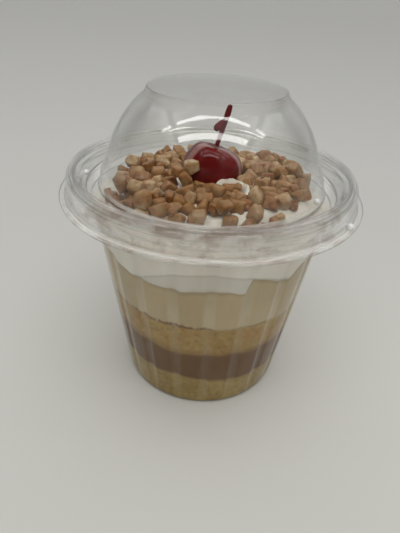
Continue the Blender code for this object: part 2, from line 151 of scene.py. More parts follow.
class Value:
    """A socket of a node tree. Python's operators on it add Math nodes to the tree."""

    def __init__(self, tree, socket):
        self.tree = tree
        self.socket = socket

    __add__ = __radd__ = maths("ADD")
    __sub__ = maths("SUBTRACT")
    __rsub__ = maths("SUBTRACT", flipped=True)
    __mul__ = __rmul__ = maths("MULTIPLY")
    __truediv__ = maths("DIVIDE")
    __pow__ = maths("POWER")
    __lt__ = maths("LESS_THAN")
    sine = maths("SINE")
    cosine = maths("COSINE")
    size = maths("ABSOLUTE")
    wrap = maths("WRAP")
    bearing_with = maths("ARCTAN2")

    def between(self, low, high):
        """0 below low, 1 above high and a smooth step from one to the other."""
        return self.tree.add("ShaderNodeMapRange", {
            "Value": self, "From Min": low, "From Max": high},
            interpolation_type="SMOOTHSTEP")["Result"]

    def below(self, low, high):
        """1 below low, 0 above high and a smooth step between."""
        return 1 - self.between(low, high)

    def band(self, start, full, fading, end):
        """1 from full to fading, 0 before start and after end."""
        return self.between(start, full) * self.below(fading, end)

    def off_groove(self, half_pitch):
        """How far a bearing, counted from a groove, is from the nearest groove."""
        return self.wrap(half_pitch, half_pitch * -1.0).size()


class Outputs:
    def __init__(self, tree, node):
        self.tree = tree
        self.node = node

    def __getitem__(self, key):
        return Value(self.tree, find_socket(self.node.outputs, key))


def find_socket(sockets, key):
    """A socket by its number, its identifier or, failing those, its name."""
    if isinstance(key, int):
        return sockets[key]
    found = [socket for socket in sockets if socket.identifier == key]
    found += [socket for socket in sockets if socket.name == key and socket.enabled]
    return found[0]


def set_stops(ramp, stops):
    """Gives a new colour ramp its (place, colour) stops."""
    while len(ramp.elements) > 1:
        ramp.elements.remove(ramp.elements[-1])
    ramp.elements[0].position = stops[0][0]
    ramp.elements[0].color = (*stops[0][1], 1.0)
    for place, colour in stops[1:]:
        ramp.elements.new(place).color = (*colour, 1.0)


class Tree:
    """Adds nodes to a shader or geometry tree: settings first, then values and links."""

    def __init__(self, owner):
        self.owner = owner

    def add(self, kind, sockets=None, **settings):
        node = self.owner.nodes.new(kind)
        for key, value in settings.items():
            if key == "stops":
                set_stops(node.color_ramp, value)
            else:
                setattr(node, key, value)
        for key, value in (sockets or {}).items():
            target = find_socket(node.inputs, key)
            if isinstance(value, Value):
                self.owner.links.new(value.socket, target)
            else:
                target.default_value = value
        return Outputs(self, node)

    def parts(self, vector):
        return self.add("ShaderNodeSeparateXYZ", {"Vector": vector})

    def vector(self, x, y, z=0.0):
        return self.add("ShaderNodeCombineXYZ", {"X": x, "Y": y, "Z": z})["Vector"]

    def length(self, vector):
        return self.add("ShaderNodeVectorMath", {"Vector": vector}, operation="LENGTH")["Value"]

    def laid_over(self, shader, share, other):
        """A share of another shader over this one."""
        return self.add("ShaderNodeMixShader", {0: share, 1: shader, 2: other})["Shader"]


class Finish(Tree):
    """A new material and the nodes that its patterns are made of."""

    def __init__(self, name):
        self.material = bpy.data.materials.new(name)
        self.material.use_nodes = True
        super().__init__(self.material.node_tree)
        self.owner.nodes.clear()
        self.place = self.add("ShaderNodeTexCoord")["Object"]
        self.colour = None

    def moved(self, stretch, *shift):
        """The place of a spot, stretched and then shifted."""
        return self.add("ShaderNodeMapping", {
            "Vector": self.place, "Location": shift, "Scale": stretch})["Vector"]

    def grain(self, size_mm, detail, roughness, upright=1.0, seed=0.0, across=1.0):
        """Noise from 0 to 1 whose lumps are about size_mm across."""
        spot = self.moved((across, across, upright), seed, 0.7 * seed, 0.3 * seed)
        return self.add("ShaderNodeTexNoise", {
            "Vector": spot, "Scale": 1000.0 / size_mm, "Detail": detail,
            "Roughness": roughness})["Fac"]

    def carried(self, name):
        """A number that the mesh carries for each of its points."""
        return self.add("ShaderNodeAttribute", attribute_name=name)["Fac"]

    def along(self, axis):
        """How far a spot lies along X (right), Y (back) or Z (up), in units."""
        return self.parts(self.place)[axis] / UNIT

    def bearing(self):
        return self.along("Y").bearing_with(self.along("X"))

    def stripes(self):
        """1 where an upright groove presses on what fills the cup, 0 between the grooves."""
        off = (self.bearing() - GROOVE_PHASE).off_groove(pi / GROOVES)
        return off.below(0.5 * GROOVE_HALF_WIDTH, 1.15 * GROOVE_HALF_WIDTH)

    def tint(self, share, other, first=None):
        """Lays a share of another colour over the colour so far, or over a first one."""
        self.colour = self.add("ShaderNodeMix", {
            "Factor_Float": share, "A_Color": (*first, 1.0) if first else self.colour,
            "B_Color": (*other, 1.0)}, data_type="RGBA")["Result_Color"]

    def bump(self, height, strength, distance_mm):
        return self.add("ShaderNodeBump", {
            "Height": height, "Strength": strength, "Distance": distance_mm * 0.001})["Normal"]

    def matt(self, *colour):
        return self.add("ShaderNodeBsdfDiffuse", {"Color": (*colour, 1.0)})["BSDF"]

    def ended(self, shader):
        self.add("ShaderNodeOutputMaterial", {"Surface": shader})
        return self.material

    def body(self, roughness, normal, specular, **extra):
        """Ends the tree in a Principled shader of the colour so far."""
        sockets = {"Base Color": self.colour, "Roughness": roughness, "Normal": normal,
                   "Specular IOR Level": specular}
        sockets.update({key.replace("_", " "): value for key, value in extra.items()})
        return self.ended(self.add("ShaderNodeBsdfPrincipled", sockets)["BSDF"])


# ---- meshes

def polar(radius, angle, height):
    return (radius * cos(angle), radius * sin(angle), height)


def smooth_step(low, high, value):
    t = min(1.0, max(0.0, (value - low) / (high - low)))
    return t * t * (3.0 - 2.0 * t)


def bell(value, width):
    return exp(-(value / width) ** 2)


def add_object(name, data):
    made = bpy.data.objects.new(name, data)
    bpy.context.scene.collection.objects.link(made)
    return made


def carry(mesh, name, numbers, kind="FLOAT"):
    """Gives each point of a mesh its number or vector."""
    layer = mesh.attributes.new(name, kind, "POINT")
    layer.data.foreach_set("vector" if kind == "FLOAT_VECTOR" else "value", numbers)


def add_piece(name, points, faces, material=None, sharp=None, **carried):
    """An object made from points in units, smooth, with what its points carry."""
    mesh = bpy.data.meshes.new(name)
    mesh.from_pydata([[c * UNIT for c in point] for point in points], [], faces)
    for key, numbers in carried.items():
        carry(mesh, key, numbers)
    if material is not None:
        mesh.materials.append(material)
    if faces:
        close_up(mesh, sharp)
    return add_object(name, mesh)


def ring_faces(points, steps, ends=()):
    """Faces between the closed rings that the points form, and to a new point at each end."""
    last = len(points) - steps
    faces = [(a + k, a + (k + 1) % steps, a + steps + (k + 1) % steps, a + steps + k)
             for a in range(0, last, steps) for k in range(steps)]
    for a, end in zip((0, last), ends):
        faces += [(a + k, a + (k + 1) % steps, len(points)) for k in range(steps)]
        points.append(tuple(end))
    return faces


def close_up(mesh, sharp=None):
    """Merges doubled points, turns the faces outwards and shades them smooth."""
    bm = bmesh.new()
    bm.from_mesh(mesh)
    bmesh.ops.remove_doubles(bm, verts=bm.verts, dist=0.000002)
    bmesh.ops.recalc_face_normals(bm, faces=bm.faces)
    bm.to_mesh(mesh)
    bm.free()
    mesh.shade_smooth()
    if sharp is not None:
        mesh.set_sharp_from_angle(angle=radians(sharp))


def new_tree(name, output, inputs):
    """A Geometry Nodes tree with named inputs, and what its inputs give."""
    group = bpy.data.node_groups.new(name, "GeometryNodeTree")
    face = group.interface
    for title, kind in inputs.items():
        face.new_socket(name=title, in_out="INPUT", socket_type="NodeSocket" + kind)
    face.new_socket(name=output, in_out="OUTPUT", socket_type="NodeSocketGeometry")
    tree = Tree(group)
    return tree, tree.add("NodeGroupInput")


def run_tree(worker, tree, values):
    """Runs a node tree on an object with those inputs, and keeps the plain mesh."""
    modifier = worker.modifiers.new("tree", "NODES")
    modifier.node_group = tree.owner
    for item in tree.owner.interface.items_tree:
        if item.item_type == "SOCKET" and item.in_out == "INPUT" and item.name in values:
            modifier[item.identifier] = values[item.name]
    graph = bpy.context.evaluated_depsgraph_get()
    result = bpy.data.meshes.new_from_object(worker.evaluated_get(graph))
    worker.modifiers.clear()
    worker.data = result
    return result


def rounded(line, radius, steps=4):
    """The line with its corners turned into short curves, and marks up to 1 on them."""
    made = [line[0]]
    marks = [0.0]
    for before, corner, after in zip(line, line[1:], line[2:]):
        corner = Vector(corner)
        back = Vector(before) - corner
        ahead = Vector(after) - corner
        turn = pi - back.angle(ahead)
        if turn < radians(4.0):
            made.append(tuple(corner))
            marks.append(0.0)
            continue
        cut = min(radius * tan(0.5 * turn), 0.45 * back.length, 0.45 * ahead.length)
        start = corner + back.normalized() * cut
        end = corner + ahead.normalized() * cut
        for k in range(steps + 1):
            t = k / steps
            made.append(tuple(start * (1 - t) ** 2 + corner * 2 * t * (1 - t) + end * t ** 2))
            marks.append(sin(pi * t) * min(1.0, turn / radians(35.0)))
    made.append(line[-1])
    marks.append(1.0)
    return made, marks


def offset_line(line, distance):
    """The line moved to its right-hand side, with mitred corners."""
    moved = []
    for i, (r, z) in enumerate(line):
        runs = []
        for a, b in ((line[max(i - 1, 0)], (r, z)), ((r, z), line[min(i + 1, len(line) - 1)])):
            run = Vector((b[0] - a[0], b[1] - a[1]))
            if run.length > 0:
                runs.append(run.normalized())
        normals = [Vector((run.y, -run.x)) for run in runs]
        total = sum(normals, Vector((0.0, 0.0))).normalized()
        share = max(0.5, total.dot(normals[0]))
        moved.append((r + total.x * distance / share, z + total.y * distance / share))
    return moved


# ---- the turned wall

def turned_wall_tree():
    """Node tree: turns a line of points round the axis, with upright grooves pressed in."""
    tree, given = new_tree("turned wall", "Wall", {
        "Line": "Geometry", "Steps": "Int", "Rows": "Int", "Pitch": "Float", "Phase": "Float",
        "Half Width": "Float", "Depth": "Float", "Foot": "Float", "Shoulder": "Float",
        "Fade": "Float", "Material": "Material"})
    grid = tree.add("GeometryNodeMeshGrid", {
        "Size X": 1.0, "Size Y": 1.0, "Vertices X": given["Steps"] + 1,
        "Vertices Y": given["Rows"]})
    position = tree.add("GeometryNodeInputPosition")["Position"]
    bend_mark = tree.add("GeometryNodeInputNamedAttribute", {"Name": "bend"}, data_type="FLOAT")
    spot = tree.parts(position)
    angle = (spot["X"] + 0.5) * tau
    row = (spot["Y"] + 0.5) * (given["Rows"] - 1)
    index = tree.add("FunctionNodeFloatToInt", {"Float": row}, rounding_mode="ROUND")["Integer"]

    def on_line(kind, value):
        return tree.add("GeometryNodeSampleIndex", {
            "Geometry": given["Line"], "Value": value, "Index": index}, data_type=kind)["Value"]

    line_spot = tree.parts(on_line("FLOAT_VECTOR", position))
    height = line_spot["Z"]
    off = (angle - given["Phase"]).off_groove(given["Pitch"] * 0.5)
    press = off.below(given["Half Width"] * 0.35, given["Half Width"]) * height.band(
        given["Foot"], given["Foot"] + given["Fade"],
        given["Shoulder"] - given["Fade"], given["Shoulder"])
    reach = line_spot["X"] - press * given["Depth"]
    made = grid["Mesh"]
    for name, value in (("groove", press), ("bend", on_line("FLOAT", bend_mark["Attribute"]))):
        made = tree.add("GeometryNodeStoreNamedAttribute", {
            "Geometry": made, "Name": name, "Value": value},
            data_type="FLOAT", domain="POINT")["Geometry"]
    for kind, sockets in (
            ("GeometryNodeSetPosition", {
                "Position": tree.vector(reach * angle.cosine(), reach * angle.sine(), height)}),
            ("GeometryNodeMergeByDistance", {"Distance": 0.000004}),
            ("GeometryNodeRealizeInstances", {}),
            ("GeometryNodeSetMaterial", {"Material": given["Material"]})):
        made = tree.add(kind, {"Geometry": made, **sockets})["Geometry"]
    tree.add("NodeGroupOutput", {"Wall": made})
    return tree


def turn_wall(name, shape, steps, material):
    """A shell turned from a line of (radius, height) in units, grooved below the shoulder."""
    line, marks = shape
    worker = add_piece(name, [(r, 0.0, z) for r, z in line], [], bend=marks)
    run_tree(worker, TURNED_WALL, {
        "Steps": steps, "Rows": len(line), "Pitch": tau / GROOVES, "Phase": GROOVE_PHASE,
        "Half Width": GROOVE_HALF_WIDTH, "Depth": GROOVE_DEPTH * UNIT,
        "Foot": GROOVE_FOOT * UNIT, "Shoulder": GROOVE_TOP * UNIT, "Fade": GROOVE_FADE * UNIT,
        "Material": material})
    close_up(worker.data, 50)
    return worker


# ---- cup and lid

def groove_depth(angle, height):
    """How deep the wall is pressed in at a bearing and height."""
    pitch = tau / GROOVES
    off = abs((angle - GROOVE_PHASE + 0.5 * pitch) % pitch - 0.5 * pitch)
    share = 1.0 - smooth_step(0.35 * GROOVE_HALF_WIDTH, GROOVE_HALF_WIDTH, off)
    rise = smooth_step(GROOVE_FOOT, GROOVE_FOOT + GROOVE_FADE, height)
    fall = 1.0 - smooth_step(GROOVE_TOP - GROOVE_FADE, GROOVE_TOP, height)
    return GROOVE_DEPTH * share * rise * fall


def wall_radius(height):
    return CUP_BASE_RADIUS + CUP_TAPER * height


def fill_radius(angle, height):
    """Radius of what fills the cup: just into the wall."""
    return wall_radius(height) - PLASTIC + SINK - groove_depth(angle, height)


def shell_line(outer, marks, thickness, first, last=None):
    """Outside and inside of a thin shell as one line, with the marks of both."""
    inner = offset_line(outer, thickness)
    inner[0] = first
    if last is not None:
        inner[-1] = last
    return outer + inner[::-1], marks + marks[::-1]


def cup_line():
    foot, foot_marks = rounded([(0.0, 0.0), (36.3, 0.0), (37.3, 1.1), (wall_radius(4.0), 4.0)],
                               1.2, 5)
    foot_marks[-1] = 0.0
    wall = [(wall_radius(z), z) for z in (5.5, 7.0, 20.0, 35.0, 50.0, 65.0, 80.0, 81.5, 83.0)]
    rim, rim_marks = rounded([(wall_radius(84.0), 84.0), (wall_radius(85.5), 85.5),
                              (48.95, 88.2), (51.25, 90.3), (52.85, 96.2), (54.3, 98.0),
                              (55.65, 97.2), (55.72, 96.3), (55.75, 95.8)], 0.9, 5)
    return shell_line(foot + wall + rim, foot_marks + [0.0] * len(wall) + rim_marks,
                      -PLASTIC, (0.0, PLASTIC))


def lid_line():
    line = [(0.0, LID_TOP), (24.0, LID_TOP), (25.8, LID_TOP), (26.4, 127.85), (27.05, 126.85),
            (27.95, 125.9)]
    for turn in map(radians, range(43, 76, 3)):
        line.append((DOME_RADIUS * sin(turn), DOME_CENTRE + DOME_RADIUS * cos(turn)))
    line += [(42.15, 102.6), (42.75, 101.2), (43.5, 99.8), (44.15, 98.5), (45.4, 93.4),
             (50.1, 93.0), (51.8, 97.6), (53.4, 99.7), (54.0, 99.82), (54.55, 99.5),
             (55.1, 99.82), (56.0, 99.7), (57.15, 98.2), (57.7, 92.0), (58.5, 90.9),
             (60.2, 90.64), (60.56, 90.6)]
    outer, marks = rounded(line, 0.55, 4)
    return shell_line(outer, marks, PLASTIC, (0.0, LID_TOP - PLASTIC),
                      (outer[-1][0], outer[-1][1] - PLASTIC))


def add_knobs(lid):
    """Three small moulded knobs: on the skirt, on the foot of the dome and in the channel."""
    bm = bmesh.new()
    bm.from_mesh(lid.data)
    bend = bm.verts.layers.float["bend"]
    for bearing, radius, height, size in ((-32.0, 58.5, 91.0, 1.5), (-31.0, 44.75, 96.5, 1.1),
                                          (-174.0, 50.4, 95.2, 1.1)):
        made = bmesh.ops.create_icosphere(bm, subdivisions=3, radius=size * UNIT)
        centre = Vector(polar(radius, radians(bearing), height)) * UNIT
        for vert in made["verts"]:
            vert.co += centre
            # Bend marks, which the lid's finish turns into painted shade.
            vert[bend] = 0.4
        for face in {face for vert in made["verts"] for face in vert.link_faces}:
            face.smooth = True
    bm.to_mesh(lid.data)
    bm.free()


def clear_plastic(name, haze, upright, across, lid=False):
    """Clear thin plastic: see-through and glossy by angle, with painted shade where it bends and
    at its edges, in place of the light it bends away.
    """
    finish = Finish(name)
    clear = finish.add("ShaderNodeBsdfTransparent", {"Color": (0.985, 0.986, 0.983, 1.0)})
    groove = finish.carried("groove")
    gloss = finish.add("ShaderNodeBsdfGlossy", {
        "Color": (1.0, 1.0, 1.0, 1.0), "Roughness": 0.035 + groove * 0.22})
    facing = finish.add("ShaderNodeLayerWeight", {"Blend": 0.5})["Facing"]
    smears = finish.grain(5.0, 4.0, 0.6, upright, 11.0, across).between(0.52, 0.78)
    height = finish.along("Z")
    back = finish.along("Y")
    low_rim = height.below(99.0, 101.5)
    # Painted highlight: a pale veil on the grooves; the smears are real haze.
    veil = groove * 0.05 + smears * haze
    if lid:
        veil = veil + low_rim * 0.02
    shader = finish.laid_over(clear["BSDF"], veil, finish.matt(0.72, 0.72, 0.71))
    if lid:
        shader = add_glints(finish, shader)
    uneven = finish.grain(7.0, 3.0, 0.6, 0.3, 4.0).between(0.25, 0.7)
    # Painted shade: dark lines where the plastic bends, weaker at the back and at the front, and
    # darker edges where it is seen side-on.
    bends = finish.carried("bend") * (1 - back.between(5.0, 40.0) * 0.6)
    bends = bends * (1 - (back * -1.0).between(15.0, 40.0) * 0.4)
    dark = bends * facing.between(0.12, 0.55) * (0.32 + 0.22 * uneven)
    dark = dark + facing.between(0.72, 1.0) * 0.28
    mirror = 0.045 + 0.955 * facing ** 5.0
    if lid:
        # Painted shade on the dome's edges, above its rim.
        dark = dark + facing.between(0.25, 0.55) * (1 - low_rim) * 0.09
        far_wall = height.band(103.0, 106.0, 112.0, 120.0) * back.between(5.0, 14.0)
        crease = height.band(125.2, 125.9, 128.1, 128.5) * facing.below(0.45, 0.75)
        mirror = mirror * (1 - far_wall * 0.8) * (1 - crease * 0.95)
    shader = finish.laid_over(shader, dark, finish.matt(0.14, 0.14, 0.135))
    return finish.ended(finish.laid_over(shader, mirror, gloss["BSDF"]))


def add_glints(finish, shader):
    """Painted reflections and painted shade round the lid's rim: streaks that stand in for the
    light it bends from nuts and cream.
    """
    back = finish.along("Y")
    height = finish.along("Z")
    radius = finish.length(finish.vector(finish.along("X"), back))
    bearing = finish.bearing()
    near = (back * -1.0).between(14.0, 38.0)
    rim = near * radius.between(45.0, 45.8)

    def streaks(length, seed, across=0.65):
        ring = finish.vector(bearing * (50.0 / length), radius * across + seed, height * across)
        return finish.add("ShaderNodeTexNoise", {
            "Vector": ring, "Scale": 1.0, "Detail": 3.0, "Roughness": 0.6})["Fac"]

    blotch = streaks(7.0, 3.0, 0.1).between(0.46, 0.60) * streaks(18.0, 5.0).between(0.34, 0.56)
    # Painted reflection of the nuts: a brown veil in the front of the rim.
    nut_reflection = 0.01 + 0.07 * radius.below(53.0, 57.5) + blotch * 0.22
    shader = finish.laid_over(shader, nut_reflection * rim, finish.matt(0.25, 0.145, 0.085))
    # Painted shade: a dark line at the foot of the dome, at the front.
    foot = radius.band(44.9, 45.2, 45.9, 46.3) * (height < 94.6)
    foot = foot * near * (0.15 + 0.35 * streaks(30.0, 41.0).between(0.35, 0.6))
    shader = finish.laid_over(shader, foot, finish.matt(0.10, 0.085, 0.07))
    # Painted highlights: pale lines at the corner and the ledge, and pale streaks in the rim.
    corner = (radius < 45.5) * height.band(93.9, 94.3, 95.2, 95.8)
    ledge = radius.band(57.9, 58.2, 59.0, 59.6)
    lines = (corner * 0.55 + ledge * 0.45) * (0.4 + 0.6 * streaks(20.0, 31.0).between(0.3, 0.6))
    pale = streaks(13.0, 9.0).between(0.52, 0.68) * rim * 0.26 + lines * near
    return finish.laid_over(shader, pale, finish.matt(0.80, 0.78, 0.74))


# ---- layers

def wave(angle, *terms):
    """A sum of cosines around the cup: (times round, size in units, phase in degrees)."""
    return sum(size * cos(times * angle - radians(phase))
               for times, size, phase in terms)


def wavy_edge(level, *terms):
    return lambda angle: level + wave(angle, *terms)


sponge_edge = wavy_edge(
    SPONGE_LEVEL, (1, 1.6, 190.0), (3, 0.5, 40.0), (7, 0.35, 10.0), (13, 0.22, 80.0),
    (23, 0.15, 10.0))
chocolate_edge = wavy_edge(
    CHOCOLATE_LEVEL, (1, 2.3, 190.0), (3, 0.7, 200.0), (8, 0.4, 60.0), (15, 0.25, 20.0),
    (29, 0.15, 50.0))
upper_sponge_edge = wavy_edge(
    UPPER_SPONGE_LEVEL, (1, 1.1, 185.0), (4, 0.4, 70.0), (11, 0.2, 30.0), (19, 0.12, 40.0),
    (31, 0.1, 90.0))


def from_front(angle):
    """Bearing from the front in degrees, positive to the right."""
    return (degrees(angle) + 90.0 + 180.0) % 360.0 - 180.0


def custard_edge(angle):
    """The cream hangs down in a lobe at the front, which ends steeply on its right."""
    front = from_front(angle)
    lobe = smooth_step(-62.0, -38.0, front) * (1.0 - smooth_step(19.2, 21.2, front))
    right = smooth_step(24.0, 40.0, front) * (1.0 - smooth_step(42.0, 52.0, front))
    level = CUSTARD_LEVEL + 3.0 - 5.0 * lobe - 4.0 * right
    level += 1.1 * lobe * cos(radians(9.0 * front))
    away = smooth_step(55.0, 80.0, abs(front))
    fine = wave(angle, (9, 0.5, 75.0), (13, 0.3, 10.0), (27, 0.18, 0.0), (41, 0.12, 60.0))
    return level + fine + away * wave(angle, (3, 1.6, 20.0), (5, 1.2, 130.0), (11, 0.7, 40.0))


def build_layer(name, low_edge, high_edge, low_middle, high_middle, rows, material):
    """A layer through the cup, its side in the grooved wall; without a low edge, the lowest."""
    if low_edge is None:
        # Two rings keep to the rounded foot of the cup, and the side starts above it.
        lows = [CUP_FLOOR] * STEPS
        side_lows = [1.9] * STEPS
        rings = [(35.9, lows), (36.6, [CUP_FLOOR + 0.35] * STEPS)]
    else:
        lows = side_lows = [low_edge(angle) for angle in AROUND]
        rings = [(INNER_RING, lows)]
    highs = [high_edge(angle) for angle in AROUND]
    for k in range(rows + 1):
        rings.append((None, [a + (b - a) * (k / rows) for a, b in zip(side_lows, highs)]))
    rings.append((INNER_RING, highs))
    points = []
    above_low = []
    below_high = []
    for radius, heights in rings:
        for angle, low, height, high in zip(AROUND, lows, heights, highs):
            points.append(polar(radius or fill_radius(angle, height), angle, height))
            above_low.append(height - low)
            below_high.append(high - height)
    faces = ring_faces(points, STEPS, ((0.0, 0.0, low_middle), (0.0, 0.0, high_middle)))
    return add_piece(name, points, faces, material, 45, above_low=above_low + [0.0, 0.0],
                     below_high=below_high + [0.0, 0.0])


def sponge_finish(name, light, deep, blush, pale, stain_and_pit_shade, soaked, stain_reach):
    """Moist sponge behind plastic: crumb, pits darkened by painted shade, painted highlights at
    the grooves, and chocolate soaked in at one edge.
    """
    finish = Finish(name)
    crumb = finish.grain(2.1, 4.0, 0.7, 0.8, 2.0)
    broad = finish.grain(11.0, 3.0, 0.6, 0.6, 7.0)
    pits = finish.add("ShaderNodeTexVoronoi", {
        "Vector": finish.moved((1.0, 1.0, 1.0), 0.4, 0.4, 0.4), "Scale": 1000.0 / 2.4})
    warm = finish.grain(6.0, 3.0, 0.6, 0.7, 19.0)
    finish.tint(broad.between(0.34, 0.68), deep, light)
    finish.tint(warm.between(0.50, 0.66) * 0.45, blush)
    finish.tint(crumb.between(0.44, 0.66) * 0.46, deep)
    finish.tint(crumb.below(0.32, 0.50) * 0.38, pale)
    # Painted shade in the sponge's pits.
    finish.tint(pits["Distance"].below(0.12, 0.42) * 0.34, stain_and_pit_shade)
    # Painted highlights where the grooves of the cup lie.
    finish.tint(finish.stripes() * 0.22, pale)
    near = finish.carried(soaked) + (broad - 0.5) * 5.0 + (crumb - 0.5) * 2.2
    finish.tint(near.below(-0.6, stain_reach) * 0.62, stain_and_pit_shade)
    return finish.body(0.5, finish.bump(crumb, 0.25, 0.3), 0.04)


def chocolate_finish():
    finish = Finish("chocolate filling")
    broad = finish.grain(9.0, 3.0, 0.55, 0.5, 5.0)
    fine = finish.grain(1.4, 4.0, 0.6, 1.0, 1.0)
    finish.tint(broad.between(0.3, 0.7), (0.17, 0.085, 0.024), (0.135, 0.060, 0.014))
    finish.tint(fine.between(0.45, 0.8) * 0.25, (0.15, 0.085, 0.055))
    top = finish.carried("below_high") + (broad - 0.5) * 4.0
    low = finish.carried("above_low") + (broad - 0.5) * 2.0
    finish.tint(top.below(-0.4, 2.6) * 0.5, (0.19, 0.095, 0.045))
    finish.tint(low.below(-0.3, 1.4) * 0.35, (0.20, 0.125, 0.06))
    return finish.body(0.5, finish.bump(fine, 0.12, 0.2), 0.04)


def custard_finish():
    """Pale custard, browned by the sponge below, with painted shade at its top under the cream
    and painted highlights at the grooves.
    """
    finish = Finish("pale custard")
    broad = finish.grain(16.0, 3.0, 0.5, 0.45, 9.0)
    fine = finish.grain(2.2, 4.0, 0.55, 0.6, 4.0)
    low = finish.carried("above_low")
    finish.tint(broad.between(0.35, 0.7), (0.53, 0.425, 0.265), (0.46, 0.36, 0.205))
    finish.tint(fine.between(0.5, 0.75) * 0.22, (0.50, 0.44, 0.32))
    # Painted highlights: paler stripes where the grooves of the cup lie.
    finish.tint(finish.stripes() * (0.30 + 0.55 * low.below(6.0, 16.0)), (0.58, 0.485, 0.32))
    ragged = finish.grain(5.0, 4.0, 0.6, 0.8, 13.0)
    left = finish.along("X").below(-6.0, 8.0)
    line = (low + (fine - 0.5) * 0.8 - (ragged - 0.42) * 7.0 * left).below(0.1, 1.5)
    patchy = 0.35 + 0.65 * ragged.between(0.38, 0.58)
    finish.tint(line * patchy * (0.75 + 0.2 * left), (0.19, 0.105, 0.038))
    smudge = finish.grain(4.0, 3.0, 0.6, 0.6, 21.0).between(0.60, 0.72) * low.below(3.0, 11.0)
    finish.tint(smudge * 0.40, (0.27, 0.165, 0.075))
    # Painted shade along the custard's top, under the cream.
    top = finish.carried("below_high") + (broad - 0.5) * 4.0
    finish.tint(top.below(0.0, 2.4) * 0.35, (0.25, 0.185, 0.10))
    return finish.body(0.5, finish.bump(fine, 0.08, 0.3), 0.04)


# ---- cream

def swirl_distance(x, y):
    """How far a spot is from the ring of cream in front of the cherry."""
    return abs(hypot(x - 7.8, 1.1 * (y + 18.3)) - 5.8)


def cream_height(x, y):
    """Top of the cream: a low swell that falls to the wall, with soft folds and a swirl."""
    distance = hypot(x, y)
    swell = 85.4 + 8.0 * (1.0 - smooth_step(33.5, 47.5, distance))
    swell += 0.7 * (1.0 - smooth_step(18.0, 34.0, distance))
    folds = 0.55 * sin(x * 0.31 + 1.3) * cos(y * 0.27 - 0.6)
    folds += 0.3 * sin((x + 1.7 * y) * 0.23)
    folds += 2.4 * bell(swirl_distance(x, y), 1.4)
    if x > 0:
        ridge = bell(abs(hypot(x + 6.0, y - 4.0) - 41.0), 2.2)
        folds += ridge * smooth_step(46.0, 40.0, distance)
    return swell + folds


def cream_detail(x, y):
    """Fine ridges that a spatula leaves on the cream, on top of its main form."""
    along = hypot(x + 14.0, y - 18.0) + 5.0 * noise.noise(Vector((x * 0.11, y * 0.11, 0.0)))
    ridges = 0.34 * (1.0 - abs(sin(along * 0.62)))
    soft = 0.5 * noise.noise(Vector((x * 0.2, y * 0.2, 5.0)))
    curl = 2.4 * bell(swirl_distance(x, y), 1.1) * smooth_step(-21.0, -17.0, y)
    return curl + ridges + soft + 0.16 * noise.noise(Vector((x * 0.6, y * 0.6, 2.0)))


def fold_line(angle):
    """Height of the fold behind the wall, below which the cream is a thinner smear."""
    front = from_front(angle)
    if front < 0.0:
        return 76.9 - 4.6 * (front / 25.0) ** 2
    return 76.9 - 0.0045 * front ** 2


def build_cream(material):
    """The cream as one body: its side in the wall, its top with folds round the cherry."""
    lows = [custard_edge(angle) for angle in AROUND]
    spots = [polar(INNER_RING, angle, low) for angle, low in zip(AROUND, lows)]
    above_low = [0.0] * STEPS
    for k in range(SIDE_ROWS + 1):
        for angle, low in zip(AROUND, lows):
            edge = CREAM_EDGE_LEVEL + 0.3 * cos(4 * angle)
            height = low + (edge - low) * (k / SIDE_ROWS)
            spots.append(polar(fill_radius(angle, min(height, 87.0)), angle, height))
            above_low.append(height - low)
    for k in range(1, TOP_ROWS + 1):
        share = k / TOP_ROWS
        reach = 48.0 * (1.0 - share) + 12.1 * share
        ease = smooth_step(48.0, 44.0, reach)
        for angle in AROUND:
            x = reach * cos(angle) + CHERRY_CENTRE.x * share
            y = reach * sin(angle) + CHERRY_CENTRE.y * share
            height = CREAM_EDGE_LEVEL + (cream_height(x, y) - CREAM_EDGE_LEVEL) * ease
            height += cream_detail(x, y) * ease * smooth_step(9.0, 13.0, reach)
            spots.append((x, y, height))
    clearance = CHERRY_RADIUS + 0.15
    for turn in map(radians, (115.0, 125.0, 135.0, 145.0, 156.0, 168.0)):
        for angle in AROUND:
            out = polar(clearance * sin(turn), angle, clearance * cos(turn))
            spots.append(tuple(CHERRY_CENTRE + Vector(out)))
    above_low += [ON_TOP] * (len(spots) - len(above_low)) + [0.0, ON_TOP]
    above_fold = [spot[2] - fold_line(AROUND[k % STEPS]) for k, spot in enumerate(spots)]
    faces = ring_faces(spots, STEPS, ((0.0, 0.0, CUSTARD_LEVEL),
                                      (0.0, 0.0, CHERRY_CENTRE.z - clearance)))
    return add_piece("cream_body", spots, faces, material, 60, above_low=above_low,
                     above_fold=above_fold + [ON_TOP, ON_TOP])


def cream_finish():
    finish = Finish("whipped cream")
    broad = finish.grain(12.0, 3.0, 0.5, 0.5, 3.0)
    fine = finish.grain(1.3, 4.0, 0.6, 1.0, 8.0)
    finish.tint(broad.between(0.3, 0.7), (0.84, 0.80, 0.72), (0.76, 0.71, 0.61))
    over = finish.carried("above_fold") + (broad - 0.5) * 1.2
    low = finish.carried("above_low")
    side = low.below(12.0, 16.0)
    # Painted shade: greyer below the fold, under the overhang, where the cream is also a thinner
    # smear.
    finish.tint(over.below(-0.5, 0.4) * side * 0.45, (0.50, 0.46, 0.38))
    # Painted shade: a dark crease along the fold.
    finish.tint(over.size().below(0.1, 0.9) * side * 0.30, (0.33, 0.28, 0.21))
    # Painted shade along the cream's lower edge, next to the custard.
    finish.tint((low + (broad - 0.5) * 3.0).below(0.0, 1.6) * 0.30, (0.42, 0.36, 0.26))
    return finish.body(0.42, finish.bump(fine, 0.10, 0.3), 0.35, Subsurface_Weight=0.15,
                       Subsurface_Scale=0.003)


# ---- nuts

